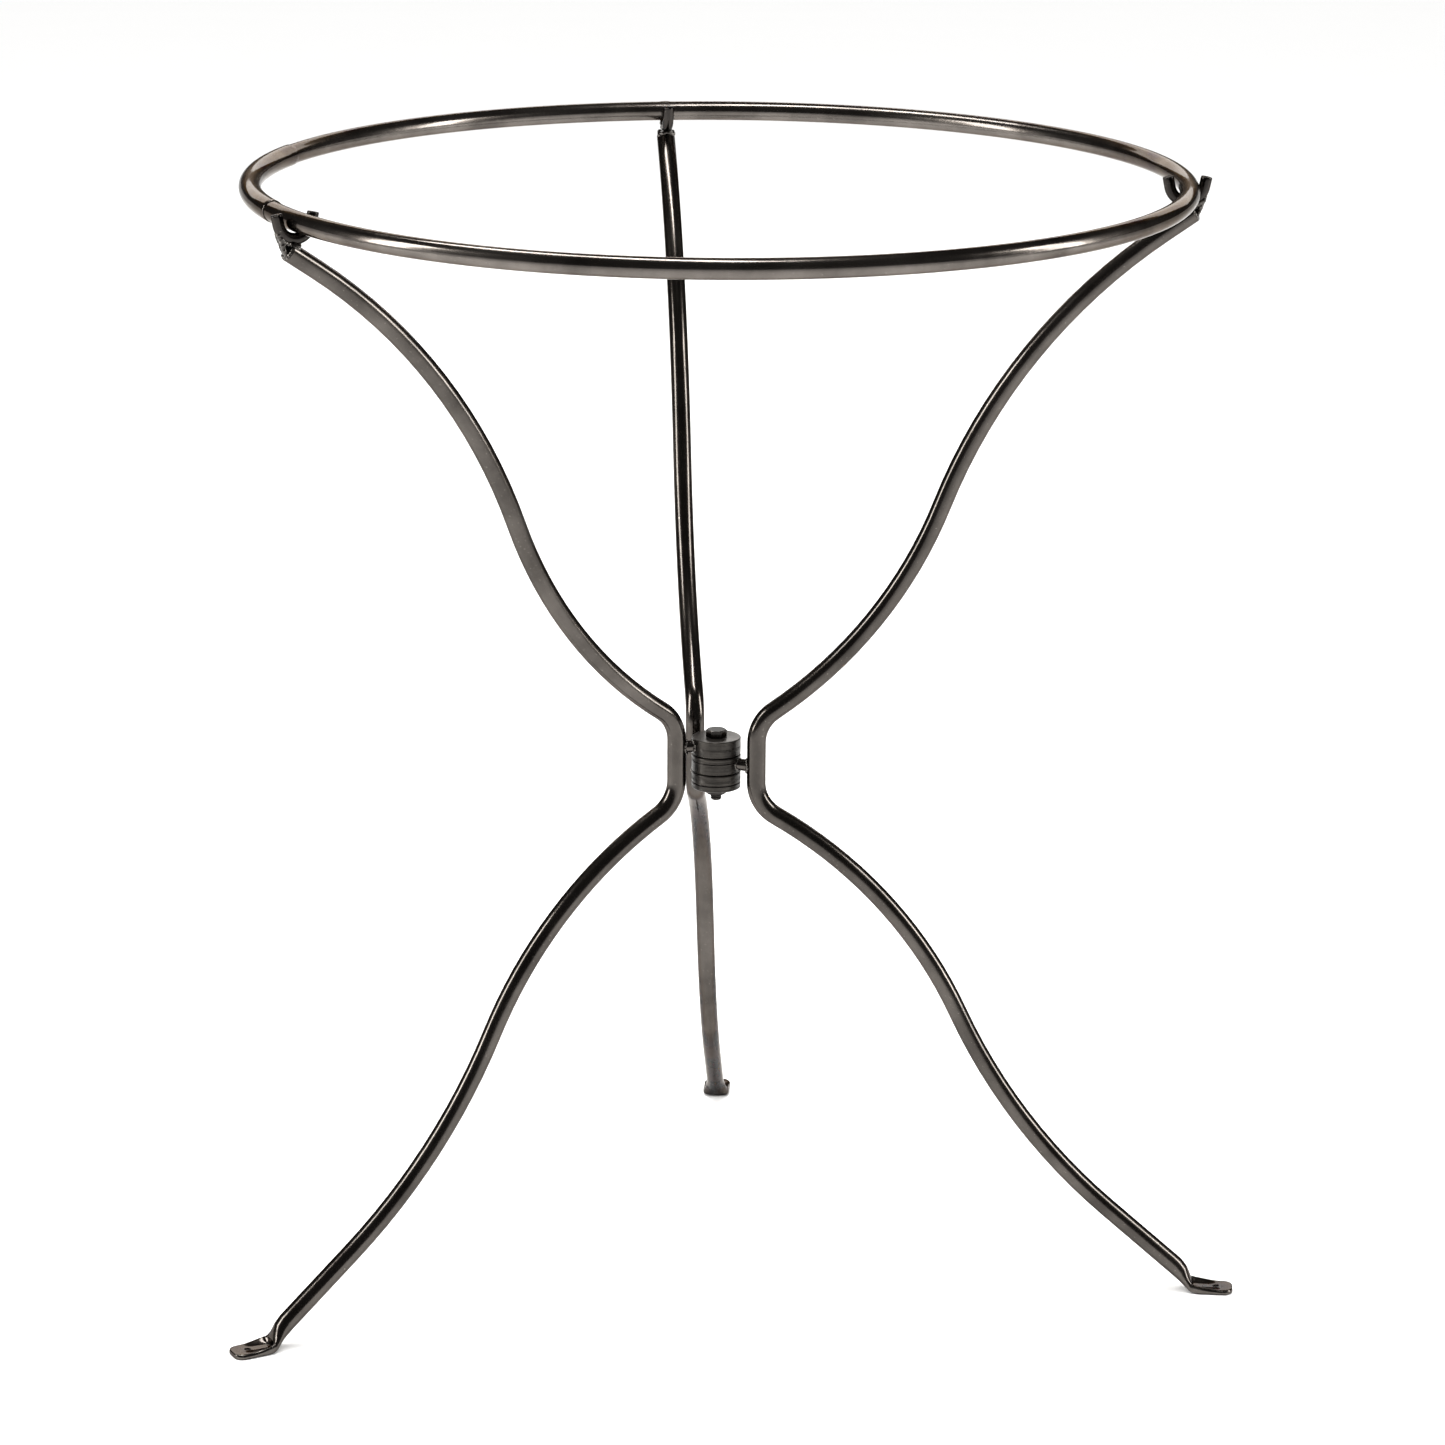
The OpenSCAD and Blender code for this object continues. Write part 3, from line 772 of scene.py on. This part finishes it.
def buildCradleWeld(leg, finish, seed):
    # a seam round the notch in the top of the tube, and weld metal that closes the tube's mouth under the bar
    places, weld, dice = legPlaces(leg), cradleWeld, random.Random(seed)
    outward = Vector((math.cos(places["cradleDir"]), math.sin(places["cradleDir"]), 0))
    upward = Vector((0, 0, 1))
    seat = outward * ringRadius + upward * seatHeight
    slope = rad(legShape["upper"]["slope"][1])
    armOut = Vector((math.cos(places["upperDir"]), math.sin(places["upperDir"]), 0))
    arm = armOut * math.cos(slope) + upward * math.sin(slope)
    end = places["waist"] + armOut * places["upperReach"] + upward * places["upperEndZ"]
    lateral = arm.cross(upward).normalized()
    topSide = lateral.cross(arm).normalized()
    tube = legShape["tubeRadius"]
    spots = []
    for side in (-1, 1):
        for k in range(10):
            y = side * weld["sideways"]
            up = math.sqrt(tube ** 2 - y ** 2)
            spots.append(end - arm * (weld["back"] * k / 9) + topSide * up + lateral * y)
    for k in range(1, 8):
        y = weld["sideways"] * (k / 4 - 1)
        up = math.sqrt(tube ** 2 - y ** 2)
        spots.append(end - arm * (weld["back"] + 0.5 - 0.03 * y * y) + topSide * up + lateral * y)
    for radius, count in weld["mouthRows"]:
        for k in range(count):
            a = 2 * math.pi * k / count
            spots.append(end - arm * 0.2
                         + topSide * (radius * math.cos(a)) + lateral * (radius * math.sin(a)))
    for k in range(8):  # a fillet from the underside of the bar down into the tube's end
        a = rad(weld["filletFrom"] + weld["filletStep"] * k)
        depth = bowRadius + cradleShape["barRadius"] - 0.3
        below = seat + (outward * math.sin(a) - upward * math.cos(a)) * depth
        spots += [below + lateral * y for y in (-2.2, 0.0, 2.2)]
        spots.append(below * 0.5 + (end + topSide * 2.5) * 0.5)
    # a heavy run of weld from the outer prong's foot down into the tube's mouth
    turn = rad(weld["ribTurn"])
    prongFoot = seat + (outward * math.sin(turn) - upward * math.cos(turn)) * (bowRadius + 3.0)
    mouthFoot = end - topSide * 3.2 + arm * 0.6
    for k in range(weld["ribDrops"]):
        rib = prongFoot + (mouthFoot - prongFoot) * (k / (weld["ribDrops"] - 1))
        spots += [rib + lateral * y for y in (-weld["ribSpread"], weld["ribSpread"])]
        spots.append(rib - (outward * 0.9 - upward * 0.3))
    blobs = []
    for spot in spots:
        size = dice.uniform(*weld["drop"])
        spot = spot + Vector([dice.uniform(-weld["jitter"], weld["jitter"]) for _ in range(3)])
        away = spot - seat
        fromSeat = math.hypot(away.dot(outward), away.z)
        if fromSeat - size > weld["ringRoom"]:
            blobs.append((spot, size))
    mesh = meltedBeads(leg + "CradleWeld", blobs, seed=seed)
    finishPiece(leg + "_cradle_weld_bead", mesh, finish, leg + "_leg",
                (leg + "_cradle_welds",), sharp=80)


ringShape = {"around": 48, "steps": 360, "gapAngle": 0.178, "sleeveTurn": 182.4, "sleeveArc": 42.0,
             "sleeveWall": 0.6, "sleeveFit": 0.05, "sleeveEdge": 0.35}


def buildRing(finish):
    shape = ringShape
    start = rad(shape["sleeveTurn"] + shape["gapAngle"] / 2)
    total = rad(360 - shape["gapAngle"])
    rings = []
    for k in range(shape["steps"] + 1):
        a = start + total * k / shape["steps"]
        outward = Vector((math.cos(a), math.sin(a), 0))
        centre = outward * ringRadius + Vector((0, 0, ringHeight))
        rings.append(ringAt(centre, outward, Vector((0, 0, 1)), ringTubeRadius, shape["around"]))
    finishPiece("ring_tube_rolled", sweepMesh("ringTube", rings), finish, "ring",
                ("ring_tube",))
    # the sleeve over the joint, its edges a little rounded and its bore open to the tube
    inner = ringTubeRadius + shape["sleeveFit"]
    outer = inner + shape["sleeveWall"]
    edge = shape["sleeveEdge"] / ringRadius
    low = rad(shape["sleeveTurn"] - shape["sleeveArc"] / 2)
    high = rad(shape["sleeveTurn"] + shape["sleeveArc"] / 2)
    stops = [(low + 4 * edge, inner), (low, inner), (low, inner + 0.2)]
    stops += [(low + edge * 0.5, outer - 0.1), (low + edge * 1.6, outer)]
    count = 44
    stops += [(low + (high - low) * k / count, outer) for k in range(1, count)]
    stops += [(high - edge * 1.6, outer), (high - edge * 0.5, outer - 0.1)]
    stops += [(high, inner + 0.2), (high, inner), (high - 4 * edge, inner)]
    rings = []
    for a, radius in stops:
        outward = Vector((math.cos(a), math.sin(a), 0))
        centre = outward * ringRadius + Vector((0, 0, ringHeight))
        rings.append(ringAt(centre, outward, Vector((0, 0, 1)), radius, shape["around"]))
    mesh = sweepMesh("ringSleeve", rings, capStart=False, capEnd=False)
    finishPiece("ring_sleeve_pressed", mesh, finish, "ring", ("ring_sleeve",), sharp=50)


hubShape = {
    "bore": 4.05,
    "chamfer": 0.55,
    "grooveDepth": 0.10,
    "scribed": {"left": (), "right": (7.8,), "back": (4.1,)},  # heights of deeper scribed lines
    "washerRadius": 15.5,
    "washerBore": 4.05,
    "stubRadius": 4.5,
}


def buildKnuckle(leg, finish):
    # a turned disc with tool lines and a scribed line round its rim
    low = knuckleBox[leg][0][2]
    outer, high, chamfer = knuckleRadius, knuckleHigh, hubShape["chamfer"]
    profile = softProfile(
        [(hubShape["bore"], 0.0), (outer - chamfer, 0.0), (outer, chamfer)], (0.25, 0.15, 0.15), 3)
    dice = random.Random(legNames.index(leg) + 11)
    z = chamfer + 0.3
    while z < high - chamfer - 0.3:
        dip = hubShape["grooveDepth"] * dice.uniform(0.1, 1.0)
        for scribed in hubShape["scribed"][leg]:
            if abs(z - scribed) < 0.35:
                dip = 0.45
        profile += [(outer, z), (outer - dip, z + 0.14)]
        z += 0.3
    profile += softProfile(
        [(outer, high - chamfer), (outer - chamfer, high), (hubShape["bore"], high)], (0.15, 0.15, 0.25), 3)
    mesh = latheMesh(leg + "Knuckle", profile, 128, low)
    finishPiece(leg + "_knuckle_turned", mesh, finish, leg + "_leg",
                (leg + "_knuckle",), sharp=50)


def buildWasher(node, finish):
    low, high = boxOf(node)
    thick = high[2] - low[2]
    corners = [(hubShape["washerBore"], 0.0), (hubShape["washerRadius"], 0.0),
               (hubShape["washerRadius"], thick), (hubShape["washerBore"], thick)]
    mesh = latheMesh(node, softProfile(corners, (0.15, 0.35, 0.35, 0.15), 4), 96, low[2])
    finishPiece(node + "_pressed", mesh, finish, "back_leg", (node,))


boltShape = {"across": 13.0, "headHigh": 5.3, "nutHigh": 5.0, "shankRadius": 3.98, "tip": 4.5,
             "pitch": 1.25, "threadDepth": 0.62, "crownRadius": 6.45}


def hexRadius(angle, across):
    part = angle % rad(60) - rad(30)
    return across / 2 / math.cos(part)


def hexRings(across, high, base, top, bottom, bore, count=144):
    # a hexagon whose corners are turned off by cones at the ends that say so
    heights = sorted(set([0.0, 0.12, 0.3, 0.55, 0.85, 1.2,
                          high - 1.2, high - 0.85, high - 0.55, high - 0.3, high - 0.12, high]))
    rings = []

    def loop(z, inner=None):
        ring = []
        for k in range(count):
            a = 2 * math.pi * k / count
            r = hexRadius(a, across) - 0.06
            if top:
                r = min(r, boltShape["crownRadius"] + (high - z) / math.tan(rad(30)))
            if bottom:
                r = min(r, boltShape["crownRadius"] + z / math.tan(rad(30)))
            if inner is not None:
                r = inner
            ring.append((r * math.cos(a), r * math.sin(a), base + z))
        return ring

    if bore:
        rings.append(loop(high / 2, bore))
    rings.append(loop(0.0, bore + 0.3 if bore else 1.0))
    rings += [loop(z) for z in heights]
    rings.append(loop(high, bore + 0.3 if bore else boltShape["crownRadius"] - 0.8))
    if bore:
        rings.append(loop(high / 2, bore))
    return rings


def buildBolt(finish):
    shape = boltShape
    head = sweepMesh("boltHead", hexRings(shape["across"], shape["headHigh"], hubTop, True, False, None))
    rings = []
    count = 72
    tipZ = hubBottom - shape["nutHigh"] - shape["tip"]
    z = tipZ
    threadTop = hubBottom + 12.0
    while z < threadTop:
        ring = []
        for k in range(count):
            a = 2 * math.pi * k / count
            phase = ((z - tipZ) / shape["pitch"] - k / count) % 1.0
            ridge = abs(phase - 0.5) * 2  # one at a root, nought at a crest
            r = shape["shankRadius"] - shape["threadDepth"] * smoothStep(0.12, 0.92, ridge)
            r = min(r, shape["shankRadius"] - 0.85 + (z - tipZ) * 0.9)
            ring.append((r * math.cos(a), r * math.sin(a), z))
        rings.append(ring)
        z += shape["pitch"] / 12
    for z in (threadTop, hubTop + 0.5):
        rings.append([(shape["shankRadius"] * math.cos(a), shape["shankRadius"] * math.sin(a), z)
                      for a in (2 * math.pi * k / count for k in range(count))])
    shank = sweepMesh("boltShank", rings)
    bm = bmesh.new()
    bm.from_mesh(head)
    bm.from_mesh(shank)
    bm.to_mesh(head)
    bm.free()
    finishPiece("pivot_bolt_threaded", head, finish, "back_leg", ("pivot_bolt",), sharp=28)


def buildNut(finish):
    shape = boltShape
    mesh = sweepMesh("lockNut", hexRings(shape["across"], shape["nutHigh"], hubBottom - shape["nutHigh"],
                                         True, True, 4.03), capStart=False, capEnd=False)
    finishPiece("lock_nut_chamfered", mesh, finish, "back_leg", ("lock_nut",), sharp=28)


def stubFrame(leg):
    places = legPlaces(leg)
    outward = Vector((math.cos(places["waistDir"]), math.sin(places["waistDir"]), 0))
    lateral = Vector((-outward.y, outward.x, 0))
    return places, outward, lateral, Vector((0, 0, knuckleMid[leg]))


def buildStub(leg, finish):
    # the short bar from the knuckle's rim to the waist, its ends shaped to both
    places, outward, lateral, middle = stubFrame(leg)
    radius, count = hubShape["stubRadius"], 48
    stops = [0.0, 0.15, 0.3, 0.45, 0.6, 0.75, 0.9, 1.0]
    rings = []
    for part in stops:
        ring = []
        for k in range(count):
            a = 2 * math.pi * k / count
            y, z = radius * math.cos(a), radius * math.sin(a)
            near = math.sqrt(knuckleRadius ** 2 - y * y) - 0.3
            far = places["waistRadius"] - math.sqrt(legShape["tubeRadius"] ** 2 - y * y) + 0.3
            waist = 1 - 0.05 * math.sin(math.pi * part)
            gone = near + (far - near) * part
            spot = middle + outward * gone + lateral * (y * waist) + Vector((0, 0, z * waist))
            ring.append(tuple(spot))
        rings.append(ring)
    mesh = sweepMesh(leg + "Stub", rings)
    finishPiece(leg + "_stub_bar", mesh, finish, leg + "_leg", (leg + "_stub",))


stubWeld = {"drops": 17, "sideways": 5.0, "upright": 3.7, "drop": (0.9, 1.35)}


def buildStubWelds(leg, finish, seed):
    # a lumpy collar at each end of the stub; upright it stays within its own knuckle's height
    places, outward, lateral, middle = stubFrame(leg)
    dice = random.Random(seed)
    for end in ("knuckle", "waist"):
        blobs = []
        for k in range(stubWeld["drops"]):
            a = 2 * math.pi * k / stubWeld["drops"] + dice.uniform(-0.08, 0.08)
            y = stubWeld["sideways"] * math.cos(a)
            z = (stubWeld["upright"] if end == "knuckle" else stubWeld["upright"] + 1.1) * math.sin(a)
            if end == "knuckle":
                x = math.sqrt(knuckleRadius ** 2 - y * y) + 0.35
            else:
                x = places["waistRadius"] - math.sqrt(legShape["tubeRadius"] ** 2 - min(y * y, 40.0)) - 0.35
            spot = middle + outward * x + lateral * y + Vector((0, 0, z))
            blobs.append((spot, dice.uniform(*stubWeld["drop"])))
        mesh = meltedBeads(leg + end + "Weld", blobs, 0.34, seed + (5 if end == "waist" else 0), 0.2)
        finishPiece(f"{leg}_stub_weld_{end}", mesh, finish, leg + "_leg", sharp=80)


makeCamera(cameraView)
makeStudio(studio)
print("stage and camera ready")

legLacquer = makeLacquer("legLacquer", lacquer)
# the ring's lacquer is a lighter copy of the legs' lacquer: painted light that brightens the ring's
# reflections
ringLitLook = {**lacquer, "deep": (0.062, 0.054, 0.048), "light": (0.150, 0.134, 0.121)}
ringLitLacquer = makeLacquer("ringLitLacquer", ringLitLook)
turnedSteel = makeTurnedSteel("turnedKnuckleSteel", turnedLook)
washerLook = {**turnedLook, "deep": (0.010, 0.009, 0.008), "light": (0.026, 0.023, 0.020)}
washerSteel = makeTurnedSteel("washerSteel", washerLook)
darkLook = {**lacquer, "deep": (0.012, 0.010, 0.009), "light": (0.034, 0.030, 0.027), "coat": 0.2}
cradleLacquer = makeLacquer("cradleLacquer", darkLook)
boltSteel = makeLacquer("boltSteel", {**darkLook, "roughness": (0.28, 0.42)}, wear=0.7, streaks=False)
weldFinish = makeWeldFinish("weldLacquer", weldLook)

for number, leg in enumerate(legNames):
    buildLeg(leg, legLacquer)
    buildCradle(leg, cradleLacquer)
    buildCradleWeld(leg, weldFinish, 21 + number)
    buildKnuckle(leg, turnedSteel)
    buildStub(leg, legLacquer)
    buildStubWelds(leg, weldFinish, 41 + number)
    print(leg, "leg built")

buildRing(ringLitLacquer)
print("ring and sleeve built")
for washer in ("upper_washer", "lower_washer"):
    buildWasher(washer, washerSteel)
buildBolt(boltSteel)
buildNut(boltSteel)
print("hub built")
